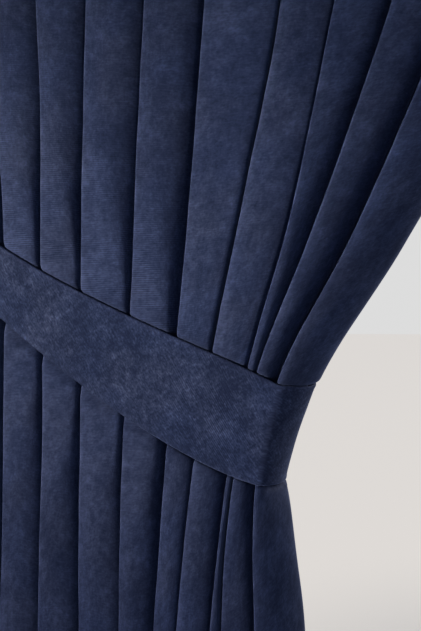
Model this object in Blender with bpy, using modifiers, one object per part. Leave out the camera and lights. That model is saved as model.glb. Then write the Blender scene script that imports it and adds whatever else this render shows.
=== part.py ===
"""A velvet drape that hangs in deep folds and is caught back by a shaped tieback.

Metres, +Z up. X runs across the drape, from its outer side to its leading edge,
and the front of the cloth faces -Y. The origin is on the top edge, in the middle
of the gathered heading, so every height below is negative.

The drape is one cloth. It is a flat grid that is hung: each row of the grid takes
the section of the folds at its height. The tieback is a second strip of cloth that
goes round the gathered drape, with its two ends lapped behind it.
"""

import math

import bmesh
import bpy
import numpy as np

# ---------------------------------------------------------------- driving dimensions

DROP = 2.45                 # length of the cloth from heading to hem, down a fold
CLOTH = 0.0012              # thickness of the velvet
TIE_CLOTH = 0.004           # thickness of the doubled and stiffened tieback
CLEARANCE = 0.0027          # space between the drape and the inside of the tieback

# Heights where the folds are set out. The others follow the tieback.
HIGH_LEVEL = -0.60
MID_LEVEL = -1.00
LOW_ABOVE_TIE = 0.15        # the "low" column is this far above the tieback
BELOW_LEVEL = -1.74

# The middle line of the tieback falls from the outer side to the leading edge.
TIE_LOWEST = -1.517         # height of the middle line at its lowest point
TIE_LOWEST_X = -0.03        # where it is that low
TIE_SLOPE = 0.335           # how it starts to rise towards the outer side
TIE_CURVE = 0.58            # and how that rise steepens, per metre
TIE_BACK_RISE = 0.012       # the back of the loop is this much higher than the front
TIE_BACK_SLOPE = 0.05       # and higher still towards the outer side
TIE_WIDEST_X = -0.10        # the strip is a crescent, widest here
TIE_HALF_WIDEST = 0.063     # half of its upright width there
TIE_HALF_NARROW = 0.038     # and at its ends
TIE_TAPER_OUTER = 0.36      # distance over which it narrows to the outer side
TIE_TAPER_LEADING = 0.22    # and round the leading edge
TIE_LAP = 0.05              # how far one end laps over the other
TIE_LAP_GAP = 0.0008        # space between the two ends there
TIE_LAP_STEP = 0.02         # length in which the outer end steps up onto the inner one
TIE_OUTER_BEND = 0.042      # the strip bends this gently round the outer side
TIE_OUTER_EASE = 0.35       # and this share of an edge fold wider than the cloth

# The cloth swells out again this far above and below the tieback.
PUFF_HEIGHT = 0.024
PUFF_START = 0.004

# Half the depth of the folds, front to back, down the drape.
HALF_DEPTH = (
    # height, half depth
    (0.00, 0.027),
    (-0.60, 0.030),
    (-1.00, 0.035),
    (-1.35, 0.043),
    (-1.62, 0.041),
    (-2.45, 0.042),
)
HALF_DEPTH_TIED = 0.034
SIDE_PRESS = 0.010          # the tieback also presses the leading edge in by this much

# X of each edge and of each fold's front corner, down the drape, in metres.
FOLD_LINES = (
    # heading   high     mid      low     tie top   tie foot  below    hem
    (-0.500, -0.489, -0.459, -0.441, -0.425, -0.424, -0.436, -0.466),  # outer edge
    (-0.476, -0.464, -0.432, -0.415, -0.400, -0.399, -0.408, -0.436),
    (-0.397, -0.391, -0.375, -0.363, -0.354, -0.353, -0.360, -0.378),
    (-0.318, -0.317, -0.315, -0.308, -0.307, -0.3055, -0.310, -0.321),
    (-0.237, -0.243, -0.2545, -0.257, -0.258, -0.259, -0.2605, -0.266),
    (-0.151, -0.165, -0.183, -0.1935, -0.200, -0.2065, -0.213, -0.218),
    (-0.058, -0.082, -0.112, -0.1315, -0.145, -0.156, -0.172, -0.179),
    (0.039, 0.016, -0.028, -0.078, -0.108, -0.127, -0.146, -0.149),
    (0.140, 0.103, 0.036, -0.023, -0.066, -0.088, -0.108, -0.111),
    (0.252, 0.204, 0.102, 0.002, -0.056, -0.081, -0.096, -0.083),
    (0.367, 0.283, 0.168, 0.042, -0.034, -0.057, -0.058, -0.039),
    (0.477, 0.408, 0.264, 0.100, 0.007, -0.023, -0.003, 0.026),  # leading edge
)

# The shape of each fold, from the outer edge on: how far its nose stands forward of
# its neighbours in metres and how round the nose is, how far across the face starts
# to turn back where it hangs free and by the tieback, how far back it has fallen at
# its cheek above the tieback and below it (2 is the whole depth), and how far across
# the cheek is. A cheek past 1 is tucked behind the next nose.
FOLD_SHAPES = (
    # proud  nose   turn  tied   fall  below  cheek
    (0.001, 0.20, 0.42, 0.74, 0.44, 0.36, 1.00),
    (-0.002, 0.24, 0.38, 0.84, 0.44, 0.46, 1.02),
    (0.003, 0.22, 0.30, 0.86, 0.50, 0.52, 1.03),
    (0.000, 0.18, 0.38, 0.86, 0.50, 0.34, 1.03),
    (0.002, 0.20, 0.28, 0.62, 0.58, 0.52, 0.99),
    (0.004, 0.16, 0.40, 0.44, 0.26, 0.28, 1.08),
    (-0.001, 0.46, 0.30, 0.40, 0.36, 0.44, 1.05),
    (0.001, 0.44, 0.20, 0.34, 0.54, 0.34, 0.98),
    (-0.002, 0.34, 0.20, 0.24, 0.68, 0.60, 0.98),
)
LAST_NOSE = (0.002, 0.60)   # the nose by the leading edge: proud and roundness
TIED_REACH = 0.22           # the tieback makes the faces fuller this far up and down
PROUD_REACH = 0.50          # and holds the noses level, less and less this far

# The corners of a fold's face: the share of the way from its turn to its cheek, the
# share of its fall, the share of the edges there that is rounded off, and points.
BROW = (0.00, 0.06, 0.50, 1)
SHOULDER = (0.60, 0.38, 0.50, 1)
CHEEK = (1.00, 1.00, 0.36, 2)
LATEST_TURN = 0.86

# Behind the face the cloth runs back, turns in a narrow channel, and comes forward
# to the next nose. The nose hooks over, so it hides the cheek beside it.
LEAN_SHARE = 0.26           # how far the channel lies past the next nose, per fold
HOOK_LEAN = 0.55            # share of that lean taken up just behind the nose
HOOK_DEPTH = -0.74
HOOK_ROUNDING = 0.30
CHANNEL_SHARE = 0.22        # width of the channel, per fold
CHANNEL_ROUNDING = 0.30
SHEET_GAP = 0.0028          # least distance between two sheets, middle to middle

# The two side edges of the cloth roll round to the back of the drape.
OUTER_ROLL_EDGE = (2.00, 1.00)
OUTER_ROLL_CORNER = (-0.20, 0.96, 0.50)
LEADING_FLAT = 0.10         # share of the last fold before its face starts to round
LEADING_POWER = 1.50        # 1 rounds it as an ellipse, and 2 is a straight slant
LEADING_BACK_ROLL = 0.80
LEADING_BACK_EDGE = 0.12

# Points along the sections and rows down the cloth.
NOSE_POINTS = 3
HOOK_POINTS = 1
CHANNEL_POINTS = 1
OUTER_POINTS = 4
ROLL_POINTS = 5
ROWS_PER_ZONE = (7, 3, 2, 3, 5)
TIE_BEND_POINTS = 7
TIE_STRAIGHT_POINTS = 7
TIE_ROWS = 3
SETTLING_STEPS = 8          # rounds in which a place and its slanting height agree

# Colours, linear.
VELVET_COLOUR = (0.020, 0.028, 0.070, 1.0)
TIE_COLOUR = (0.017, 0.024, 0.062, 1.0)
VELVET_ROUGHNESS = 0.9


# ---------------------------------------------------------------- the tieback's line

def tie_middle(x, back_share=0.0):
    """Height of the tieback's middle line at x. back_share is 0 in front, 1 behind."""
    away = np.maximum(0.0, TIE_LOWEST_X - x)
    front = TIE_LOWEST + TIE_SLOPE * away + TIE_CURVE * away ** 2
    return front + (TIE_BACK_RISE + TIE_BACK_SLOPE * away) * back_share ** 2


def tie_half(x):
    """Half the upright width of the tieback at x: a crescent, widest near the front."""
    taper = np.where(x < TIE_WIDEST_X, TIE_TAPER_OUTER, TIE_TAPER_LEADING)
    off = np.clip(np.abs(x - TIE_WIDEST_X) / taper, 0.0, 1.0)
    swell = 0.5 + 0.5 * np.cos(math.pi * off)
    return TIE_HALF_NARROW + (TIE_HALF_WIDEST - TIE_HALF_NARROW) * swell


def tie_top(x, back_share=0.0):
    return tie_middle(x, back_share) + tie_half(x)


def tie_foot(x, back_share=0.0):
    return tie_middle(x, back_share) - tie_half(x)


# ---------------------------------------------------------------- the fold lines

def smooth_through(places, values, at):
    """A smooth curve through a few points: cubic pieces with averaged slopes."""
    places = np.asarray(places, float)
    values = np.asarray(values, float)
    steps = np.diff(places)
    rates = np.diff(values) / steps
    slopes = np.empty_like(values)
    slopes[1:-1] = (rates[:-1] * steps[1:] + rates[1:] * steps[:-1]) / (steps[:-1] + steps[1:])
    slopes[0] = 0.0
    slopes[-1] = rates[-1]
    piece = np.clip(np.searchsorted(places, at) - 1, 0, len(steps) - 1)
    s = np.clip((at - places[piece]) / steps[piece], 0.0, 1.0)
    start, end, step = values[piece], values[piece + 1], steps[piece]
    return (
        start * (1 + 2 * s) * (1 - s) ** 2
        + end * s ** 2 * (3 - 2 * s)
        + slopes[piece] * step * s * (1 - s) ** 2
        - slopes[piece + 1] * step * s ** 2 * (1 - s)
    )


def fold_depths(line):
    """How far down each column of a fold line lies, and what is left for the hem."""
    xs = line[:8]
    levels = [0.0, HIGH_LEVEL, MID_LEVEL, tie_top(xs[4]) + LOW_ABOVE_TIE,
              tie_top(xs[4]), tie_foot(xs[5]), BELOW_LEVEL]
    used = sum(math.dist((xs[k], levels[k]), (xs[k + 1], levels[k + 1])) for k in range(6))
    levels.append(BELOW_LEVEL - (DROP - used))
    return [-float(level) for level in levels]


FOLD_DEPTHS = [fold_depths(line) for line in FOLD_LINES]
HEM_X = [line[7] for line in FOLD_LINES]
HEM_Z = [-depths[7] for depths in FOLD_DEPTHS]


def fold_x(index, z):
    """X of a fold's front corner, or of an edge of the drape, at height z."""
    return float(smooth_through(FOLD_DEPTHS[index], FOLD_LINES[index][:8], -z))


def smooth_step(s):
    s = np.clip(s, 0.0, 1.0)
    return s * s * (3 - 2 * s)


def swelling(x, z, back_share):
    """0 where the tieback presses the cloth, rounding out to 1 above and below it."""
    above = z - tie_top(x, back_share)
    below = tie_foot(x, back_share) - z
    away = np.maximum(above, below) - PUFF_START
    share = np.clip(away / (PUFF_HEIGHT - PUFF_START), 0.0, 1.0)
    return np.sqrt(1 - (1 - share) ** 2)


def half_depth(x, z, back_share):
    """Half the depth of the folds: pressed in by the tieback, full away from it."""
    heights = [-row[0] for row in HALF_DEPTH]
    free = smooth_through(heights, [row[1] for row in HALF_DEPTH], -z)
    return HALF_DEPTH_TIED + (free - HALF_DEPTH_TIED) * swelling(x, z, back_share)


# ---------------------------------------------------------------- the drape's sections

def row_height(zone, x, back_share):
    """Height of a row of the cloth. The zones are: hanging, swelling, tied, swelling,
    hanging; the rows lie level at both ends and follow the tieback between them."""
    marks = (
        0.0 * x,
        tie_top(x, back_share) + PUFF_HEIGHT,
        tie_top(x, back_share) + PUFF_START,
        tie_foot(x, back_share) - PUFF_START,
        tie_foot(x, back_share) - PUFF_HEIGHT,
        np.interp(x, HEM_X, HEM_Z),
    )
    k = min(int(zone), len(marks) - 2)
    return marks[k] + (marks[k + 1] - marks[k]) * (zone - k)


def corner_xs(zone):
    """Where a row of the cloth crosses every fold line, and how near the tieback and
    how far below it that is."""
    xs = []
    nears = []
    lows = []
    for index, line in enumerate(FOLD_LINES):
        x = line[4]
        for _ in range(SETTLING_STEPS):
            z = float(row_height(zone, x, 0.0))
            x = fold_x(index, z)
        xs.append(x)
        away = max(z - tie_top(x), tie_foot(x) - z, 0.0)
        nears.append(1 - smooth_step(away / TIED_REACH))
        lows.append(smooth_step((tie_top(x) - z) / (tie_top(x) - tie_foot(x))))
    xs[-1] -= SIDE_PRESS * (1 - float(swelling(x, z, 0.0)))
    return xs, nears, lows


def leading_roll(xs, count):
    """Points from the last fold's face round the leading edge to the back."""
    pitch = xs[-1] - xs[-2]
    start = xs[-2] + LEADING_FLAT * pitch
    points = []
    for angle in np.linspace(0.0, math.pi / 2, count + 1):
        across = math.sin(angle) ** LEADING_POWER
        points.append((start + (xs[-1] - start) * across, -math.cos(angle) ** LEADING_POWER))
    back = LEADING_BACK_ROLL * pitch
    for angle in np.linspace(0.0, math.pi / 2, count + 1)[1:]:
        points.append((xs[-1] - back + back * math.cos(angle), math.sin(angle)))
    return points


def fold_corners(x, pitch, next_pitch, near, low, shape, next_proud):
    """The corners of one fold, from its nose to the channel behind the next nose.

    near is 1 by the tieback and 0 away from it, and low is 0 above it and 1 below."""
    proud, nose, turn, tied, fall, below, cheek = shape
    fall += (below - fall) * low
    lean = LEAN_SHARE * min(pitch, next_pitch)
    last = min(cheek * pitch, pitch + HOOK_LEAN * lean - SHEET_GAP)
    first = min((turn + (tied - turn) * near) * pitch, LATEST_TURN * last)
    corners = [(x, -1.0, nose, NOSE_POINTS, proud)]
    for along, fallen, rounding, points in (BROW, SHOULDER, CHEEK):
        across = first + (last - first) * along
        corners.append((x + across, fallen * fall - 1, rounding, points, proud))
    channel = max(CHANNEL_SHARE * pitch, SHEET_GAP)
    after = x + pitch + lean
    corners.append((after - channel, 1.0, CHANNEL_ROUNDING, CHANNEL_POINTS, 0.0))
    corners.append((after, 1.0, CHANNEL_ROUNDING, CHANNEL_POINTS, 0.0))
    hook = x + pitch + HOOK_LEAN * lean
    corners.append((hook, HOOK_DEPTH, HOOK_ROUNDING, HOOK_POINTS, next_proud))
    return corners


def section_corners(xs, nears, lows):
    """The corners of one section, from the outer edge to the leading edge.

    Each corner is x, depth share, rounding, points, how far it stands forward."""
    outer_width = xs[1] - xs[0]
    corners = [
        (xs[0] + OUTER_ROLL_EDGE[0] * outer_width, OUTER_ROLL_EDGE[1], 0.0, 1, 0.0),
        (xs[0] + OUTER_ROLL_CORNER[0] * outer_width, *OUTER_ROLL_CORNER[1:], OUTER_POINTS, 0.0),
    ]
    pitches = np.diff(xs)
    prouds = [shape[0] for shape in FOLD_SHAPES[1:]] + [LAST_NOSE[0]]
    for k, (shape, next_proud) in enumerate(zip(FOLD_SHAPES, prouds), start=1):
        corners += fold_corners(xs[k], pitches[k], pitches[k + 1], nears[k], lows[k], shape,
                                next_proud)
    corners.append((xs[-2], -1.0, LAST_NOSE[1], NOSE_POINTS, LAST_NOSE[0]))
    corners += [(x, share, 0.0, 1, 0.0) for x, share in leading_roll(xs, ROLL_POINTS)]
    corners.append((xs[-2] + LEADING_BACK_EDGE * pitches[-1], 1.0, 0.0, 1, 0.0))
    return corners


def rounded_path(places, roundings, counts):
    """A path with its corners rounded off. An end, or a corner with no rounding, stays."""
    points = []
    for k, place in enumerate(places):
        if roundings[k] == 0.0:
            points.append(place)
            continue
        start = place + (places[k - 1] - place) * roundings[k]
        end = place + (places[k + 1] - place) * roundings[k]
        shares = np.linspace(0.0, 1.0, counts[k]) if counts[k] > 1 else [0.5]
        for s in shares:
            points.append((1 - s) ** 2 * start + 2 * s * (1 - s) * place + s ** 2 * end)
    return np.array(points)


def drape_row(zone):
    """The points of one row of the hung cloth."""
    corners = section_corners(*corner_xs(zone))
    flat = np.array([(x, share, proud) for x, share, _, _, proud in corners])
    path = rounded_path(flat, [c[2] for c in corners], [c[3] for c in corners])
    x, share, proud = path.T
    back_share = (1 + share) / 2
    z = row_height(zone, x, back_share)
    half = half_depth(x, z, back_share)
    free = smooth_step(np.abs(z - tie_middle(x)) / PROUD_REACH)
    y = share * half - proud * free * (1 - back_share)
    return np.stack([x, y, z], axis=1)


def row_zones(rows_per_zone):
    zones = [0.0]
    for k, count in enumerate(rows_per_zone):
        zones += [k + (j + 1) / count for j in range(count)]
    return zones


# ---------------------------------------------------------------- the tieback's loop

def bend_round(corner, start, end, count):
    """Points of a bend that starts and ends on the two lines that meet at a corner."""
    corner, start, end = map(np.array, (corner, start, end))
    shares = np.linspace(0.0, 1.0, count)
    return [(1 - s) ** 2 * start + 2 * s * (1 - s) * corner + s ** 2 * end for s in shares]


def loop_points(z):
    """The line round the drape's section at height z, that the tieback lies on.

    It starts behind the outer side, comes round to the front, goes back round the
    leading edge and ends over its own start."""
    xs = [fold_x(index, z) for index in range(len(FOLD_LINES))]
    xs[-1] -= SIDE_PRESS
    depth = HALF_DEPTH_TIED
    left = xs[0] - TIE_OUTER_EASE * (xs[1] - xs[0])
    inward = left + TIE_OUTER_BEND
    lap = inward + TIE_LAP
    count = TIE_BEND_POINTS
    points = [np.array((lap, depth))]
    points += bend_round((left, depth), (inward, depth), (left, 0.0), count)
    points += bend_round((left, -depth), (left, 0.0), (inward, -depth), count)[1:]
    roll = leading_roll(xs, count)
    for s in np.linspace(0.0, 1.0, TIE_STRAIGHT_POINTS + 1)[1:-1]:
        points.append(np.array((inward + s * (roll[0][0] - inward), -depth)))
    points += [np.array((x, share * depth)) for x, share in roll]
    back_start = points[-1][0]
    for s in np.linspace(0.0, 1.0, TIE_STRAIGHT_POINTS + 1)[1:]:
        points.append(np.array((back_start + s * (lap + TIE_LAP - back_start), depth)))
    points += [np.array((lap + TIE_LAP_STEP, depth)), np.array((inward, depth))]
    return np.array(points)


def tie_offsets(count):
    """How far each point of the strip lies outside the loop line. The last end laps over."""
    offsets = np.full(count, CLOTH / 2 + CLEARANCE + TIE_CLOTH / 2)
    offsets[-2:] += TIE_CLOTH + TIE_LAP_GAP
    return offsets


def tie_row(across):
    """One edge-to-edge row of the tieback. across is -1 at its foot and 1 at its top."""
    xy = loop_points(TIE_LOWEST)
    z = np.full(len(xy), TIE_LOWEST)
    for _ in range(SETTLING_STEPS):
        xy = np.array([loop_points(level)[k] for k, level in enumerate(z)])
        back_share = (1 + np.clip(xy[:, 1] / HALF_DEPTH_TIED, -1, 1)) / 2
        z = tie_middle(xy[:, 0], back_share) + across * tie_half(xy[:, 0])
    along = np.gradient(xy, axis=0)
    along /= np.linalg.norm(along, axis=1, keepdims=True)
    outward = np.stack([along[:, 1], -along[:, 0]], axis=1)
    xy = xy + outward * tie_offsets(len(xy))[:, None]
    return np.column_stack([xy, z])


# ---------------------------------------------------------------- objects

def clear_scene():
    for old in list(bpy.data.objects):
        bpy.data.objects.remove(old, do_unlink=True)


def cloth_material(name, colour):
    material = bpy.data.materials.new(name)
    material.use_nodes = True
    shader = material.node_tree.nodes["Principled BSDF"]
    shader.inputs["Base Color"].default_value = colour
    shader.inputs["Roughness"].default_value = VELVET_ROUGHNESS
    shader.inputs["Metallic"].default_value = 0.0
    material.diffuse_color = colour
    return material


def hang_cloth(name, rows, thickness, material, collection):
    """A flat grid of cloth, with each row of its points moved to where it hangs."""
    grid = bmesh.new()
    bmesh.ops.create_grid(grid, x_segments=len(rows[0]) - 1, y_segments=len(rows) - 1, size=0.5)
    grid.verts.ensure_lookup_table()
    for vert in grid.verts:
        across = round((vert.co.x + 0.5) * (len(rows[0]) - 1))
        down = round((0.5 - vert.co.y) * (len(rows) - 1))
        vert.co = rows[down][across]
    bmesh.ops.recalc_face_normals(grid, faces=grid.faces)
    mesh = bpy.data.meshes.new(name)
    grid.to_mesh(mesh)
    grid.free()
    mesh.shade_smooth()
    mesh.materials.append(material)
    cloth = bpy.data.objects.new(name, mesh)
    collection.objects.link(cloth)
    solidify = cloth.modifiers.new("Thickness", "SOLIDIFY")
    solidify.thickness = thickness
    solidify.offset = 0.0
    solidify.use_even_offset = True
    return cloth


def build():
    clear_scene()
    collection = bpy.data.collections.new("velvet_drape_with_tieback")
    bpy.context.scene.collection.children.link(collection)
    hang_cloth(
        "drape",
        [drape_row(zone) for zone in row_zones(ROWS_PER_ZONE)],
        CLOTH,
        cloth_material("velvet", VELVET_COLOUR),
        collection,
    )
    hang_cloth(
        "tieback",
        [tie_row(across) for across in np.linspace(1.0, -1.0, TIE_ROWS)],
        TIE_CLOTH,
        cloth_material("tieback velvet", TIE_COLOUR),
        collection,
    )


build()
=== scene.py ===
# %% [markdown]
# # A velvet drape with a tieback
#
# This lesson dresses a plain solid model of one window drape, so that it reads as
# heavy navy velvet. The drape is a single wide cloth that hangs in ten deep folds.
# A shaped band of the same velvet catches it back to one side. The solid model, or
# frame, already fixes the place and the size of both pieces. We build finer cloth
# around it, give it a napped surface, and light it softly from one side. The cloth
# is built by rule and not by a cloth simulation, so it is the same on every run.

# %% Open the fixed frame
import math

import bpy
import numpy as np
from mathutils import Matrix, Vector, noise


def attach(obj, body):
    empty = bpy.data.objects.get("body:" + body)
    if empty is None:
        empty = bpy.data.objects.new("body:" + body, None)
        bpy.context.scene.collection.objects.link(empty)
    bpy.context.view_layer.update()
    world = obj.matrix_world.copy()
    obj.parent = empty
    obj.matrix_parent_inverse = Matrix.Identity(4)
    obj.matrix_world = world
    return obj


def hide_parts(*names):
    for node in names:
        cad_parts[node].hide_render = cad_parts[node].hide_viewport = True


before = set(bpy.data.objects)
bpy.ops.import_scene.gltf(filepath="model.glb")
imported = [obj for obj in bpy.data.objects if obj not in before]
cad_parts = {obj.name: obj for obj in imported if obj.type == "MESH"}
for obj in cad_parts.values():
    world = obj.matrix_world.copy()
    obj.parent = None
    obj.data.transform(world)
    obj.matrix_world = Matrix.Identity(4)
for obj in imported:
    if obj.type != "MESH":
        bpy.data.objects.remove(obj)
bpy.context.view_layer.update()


print("frame nodes:", sorted(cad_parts))

# %% [markdown]
# ## Sizes first
#
# A curtain maker starts from a few numbers: the drop, the fullness, the depth of the
# folds, and the tieback's width and slope. We keep them as named values in metres.
# The heading is at height zero, so everything else has a negative height. X runs
# across the drape to its leading edge, and its front faces -Y.

# %% Sizes of the cloth and the tieback
# the drop, the thickness of the drape and of the band, and the gap between them
DROP = 2.45
CLOTH = 0.0012
TIE_CLOTH = 0.004
CLEARANCE = 0.0027

# the heights at which the fold lines are set out
HIGH_LEVEL = -0.60
MID_LEVEL = -1.00
LOW_ABOVE_TIE = 0.15
BELOW_LEVEL = -1.74

# the middle line of the tieback, then its half width
TIE_LOWEST = -1.517
TIE_LOWEST_X = -0.03
TIE_SLOPE = 0.335
TIE_CURVE = 0.58
TIE_BACK_RISE = 0.012
TIE_BACK_SLOPE = 0.05
TIE_WIDEST_X = -0.10
TIE_HALF_WIDEST = 0.063
TIE_HALF_NARROW = 0.038
TIE_TAPER_OUTER = 0.36
TIE_TAPER_LEADING = 0.22
print("drop", DROP, "m, tieback", 2 * TIE_HALF_WIDEST, "m wide at most")

# %% [markdown]
# ## The fold table
#
# Folds could come from a cloth simulation, but a simulation rarely puts each fold
# where we want it. A table is easier to steer. Each row is one fold line, and each
# column says how far across that line is at one height. Between the heights we draw
# a smooth curve.
#
# A second table gives each fold its own character: how far it stands forward, how
# round its nose is, and where its broad face starts to turn back, both hanging free
# and held by the tieback. Then comes how deep the face falls: hanging free, the
# share of that which is left beside the tieback, and below it. Last is how far
# across the fold its cheek lies. A cheek past 1 is tucked behind the next nose.

# %% Fold lines down the drape
FOLD_LINES = (
    # heading   high     mid      low     tie top   tie foot  below    hem
    (-0.500, -0.489, -0.459, -0.441, -0.425, -0.424, -0.436, -0.466),  # outer edge
    (-0.476, -0.464, -0.432, -0.415, -0.400, -0.399, -0.408, -0.436),
    (-0.397, -0.391, -0.375, -0.363, -0.354, -0.353, -0.360, -0.378),
    (-0.318, -0.317, -0.315, -0.308, -0.307, -0.3055, -0.310, -0.321),
    (-0.237, -0.243, -0.2545, -0.257, -0.258, -0.259, -0.2605, -0.266),
    (-0.151, -0.165, -0.183, -0.1935, -0.200, -0.2065, -0.213, -0.218),
    (-0.058, -0.082, -0.112, -0.1315, -0.145, -0.156, -0.172, -0.179),
    (0.0412, 0.0185, -0.025, -0.0755, -0.1068, -0.127, -0.146, -0.149),
    (0.140, 0.103, 0.036, -0.023, -0.066, -0.088, -0.108, -0.111),
    (0.252, 0.204, 0.102, 0.002, -0.056, -0.081, -0.096, -0.083),
    (0.367, 0.283, 0.168, 0.042, -0.034, -0.057, -0.058, -0.039),
    (0.477, 0.408, 0.264, 0.097, 0.0066, -0.0262, -0.010, 0.022),  # leading edge
)
FOLD_SHAPES = (
    # proud  nose   turn  tied   fall  press  below  cheek
    (0.001, 0.20, 0.42, 0.74, 0.44, 1.00, 0.36, 1.00),
    (-0.002, 0.24, 0.38, 0.84, 0.44, 1.00, 0.46, 1.02),
    (0.003, 0.22, 0.30, 0.86, 0.50, 1.00, 0.52, 1.03),
    (0.000, 0.18, 0.38, 0.86, 0.50, 1.00, 0.34, 1.03),
    (0.002, 0.20, 0.28, 0.72, 0.56, 0.90, 0.52, 0.99),
    (0.001, 0.16, 0.40, 0.44, 0.08, 0.80, 0.14, 1.08),
    (-0.001, 0.46, 0.30, 0.40, 0.30, 0.60, 0.32, 1.05),
    (0.001, 0.24, 0.20, 0.50, 0.54, 0.50, 0.13, 0.98),
    (-0.002, 0.34, 0.20, 0.34, 0.68, 0.65, 0.36, 0.98),
)
LAST_NOSE = (0.002, 0.40)
print(len(FOLD_LINES), "fold lines,", len(FOLD_SHAPES), "shaped folds")

# %% [markdown]
# ## The line of the tieback
#
# The tieback is a crescent. It is narrow behind the drape and widest in front, and
# it falls from the outer side to the leading edge, where the weight of the cloth
# pulls it down. Two short formulas give its middle line and its half width at any
# place across. The drape needs them too, because its folds are pressed there. The
# outer part of the front foot edge is soft and sinks into the folds, so one more
# formula says how soft that edge is.

# %% Middle, top and foot of the tieback
FOOT_CRISP_X = -0.13
FOOT_SOFT_REACH = 0.10
FOOT_SOFT_BACK = 0.50
FOOT_SOFT_FADE = 0.25


def smooth_step(s):
    s = np.clip(s, 0.0, 1.0)
    return s * s * (3 - 2 * s)


def tie_middle(x, back_share=0.0):
    """Height of the tieback's middle line at x. back_share is 0 in front, 1 behind."""
    away = np.maximum(0.0, TIE_LOWEST_X - x)
    front = TIE_LOWEST + TIE_SLOPE * away + TIE_CURVE * away ** 2
    return front + (TIE_BACK_RISE + TIE_BACK_SLOPE * away) * back_share ** 2


def tie_half(x):
    """Half the upright width of the tieback at x."""
    taper = np.where(x < TIE_WIDEST_X, TIE_TAPER_OUTER, TIE_TAPER_LEADING)
    off = np.clip(np.abs(x - TIE_WIDEST_X) / taper, 0.0, 1.0)
    swell = 0.5 + 0.5 * np.cos(math.pi * off)
    return TIE_HALF_NARROW + (TIE_HALF_WIDEST - TIE_HALF_NARROW) * swell


def tie_top(x, back_share=0.0):
    return tie_middle(x, back_share) + tie_half(x)


def tie_foot(x, back_share=0.0):
    return tie_middle(x, back_share) - tie_half(x)


def foot_softness(x, back_share=0.0):
    """1 at the outer part of the front foot edge, which sinks into the folds, 0 further
    in and at the back."""
    by_side = smooth_step((FOOT_CRISP_X - x) / FOOT_SOFT_REACH)
    return by_side * smooth_step((FOOT_SOFT_BACK - back_share) / FOOT_SOFT_FADE)


for place in (-0.42, -0.20, 0.0):
    print("tieback at x", place, "from", round(float(tie_foot(place)), 3),
          "to", round(float(tie_top(place)), 3))

# %% [markdown]
# ## From a table to smooth fold lines
#
# To read a fold line at any height we run one smooth cubic through its table values.
# The slope at each value is an average of its two neighbours, so the line never
# kinks. The last length, down to the hem, is whatever is left of the drop. That is
# why the slanting leading side ends higher than the straight outer side, as it does
# on any drape that is pulled aside.

# %% Read a fold line at any height
TIE_TOP_COLUMN = 4
TIE_FOOT_COLUMN = 5


def smooth_through(places, values, at):
    """A smooth curve through a few points: cubic pieces with averaged slopes."""
    places = np.asarray(places, float)
    values = np.asarray(values, float)
    steps = np.diff(places)
    rates = np.diff(values) / steps
    slopes = np.empty_like(values)
    slopes[1:-1] = (rates[:-1] * steps[1:] + rates[1:] * steps[:-1]) / (steps[:-1] + steps[1:])
    slopes[0] = 0.0
    slopes[-1] = rates[-1]
    piece = np.clip(np.searchsorted(places, at) - 1, 0, len(steps) - 1)
    s = np.clip((at - places[piece]) / steps[piece], 0.0, 1.0)
    start, end, step = values[piece], values[piece + 1], steps[piece]
    return (
        start * (1 + 2 * s) * (1 - s) ** 2
        + end * s ** 2 * (3 - 2 * s)
        + slopes[piece] * step * s * (1 - s) ** 2
        - slopes[piece + 1] * step * s ** 2 * (1 - s)
    )


def fold_depths(line):
    """How far down each column of a fold line lies, and what is left for the hem."""
    top, foot = tie_top(line[TIE_TOP_COLUMN]), tie_foot(line[TIE_FOOT_COLUMN])
    levels = [0.0, HIGH_LEVEL, MID_LEVEL, top + LOW_ABOVE_TIE, top, foot, BELOW_LEVEL]
    spots = list(zip(line, levels))
    used = sum(math.dist(*ends) for ends in zip(spots, spots[1:]))
    return [-float(level) for level in (*levels, BELOW_LEVEL - (DROP - used))]


FOLD_DEPTHS = [fold_depths(line) for line in FOLD_LINES]
HEM_X = [line[-1] for line in FOLD_LINES]
HEM_Z = [-depths[-1] for depths in FOLD_DEPTHS]
print("the hem hangs from", round(min(HEM_Z), 3), "to", round(max(HEM_Z), 3))

# %% [markdown]
# ## Hand-hung folds wander
#
# Real fold lines are never quite straight. A fold drifts a millimetre one way, then
# the other, where a thumb pressed it. We add a slow and a quick wander to each line
# with smooth noise. It is the same on every run, because it depends on the place alone.

# %% Let each fold line wander a little
WANDER = 0.0014
WANDER_LENGTH = 0.17
WANDER_START = 0.5
WANDER_LAYERS = (
    # step in the noise from fold to fold, quickness, place in the noise, share
    (3.7, 1.0, 0.3, 1.0),
    (5.1, 2.7, 7.9, 0.4),
)


def wander(index, z):
    """A small sideways drift of a fold line, with a different drift for each fold."""
    drift = 0.0
    for step, quickness, place, share in WANDER_LAYERS:
        spot = (index * step + WANDER_START, quickness * z / WANDER_LENGTH, place)
        drift += share * noise.noise(Vector(spot))
    return WANDER * drift


def fold_x(index, z, drift=0.0):
    """X of a fold's front corner, or of an edge of the drape, at height z."""
    x = float(smooth_through(FOLD_DEPTHS[index], FOLD_LINES[index], -z))
    return x + drift * wander(index, z)


print("fold 5 at -1.2 m:", round(fold_x(5, -1.2, 1.0), 4))

# %% [markdown]
# ## Depth of the folds
#
# The folds are shallow at the heading and deeper lower down. Under the tieback they
# are pressed in. Just beyond each edge of the band the cloth springs out again in a
# tight round swell, so that the band looks sunk into the drape. At the outer part of
# the front foot edge the band pulls less, so there the cloth starts to swell while
# it is still under the band, and comes out in a long soft slope.

# %% How deep the folds are at any place
HALF_DEPTH = (
    # below the heading, half depth
    (0.00, 0.027),
    (0.60, 0.030),
    (1.00, 0.035),
    (1.35, 0.043),
    (1.62, 0.041),
    (2.45, 0.042),
)
HALF_DEPTH_TIED = 0.034
EASE_UNDER_TIE = 0.0018
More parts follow.
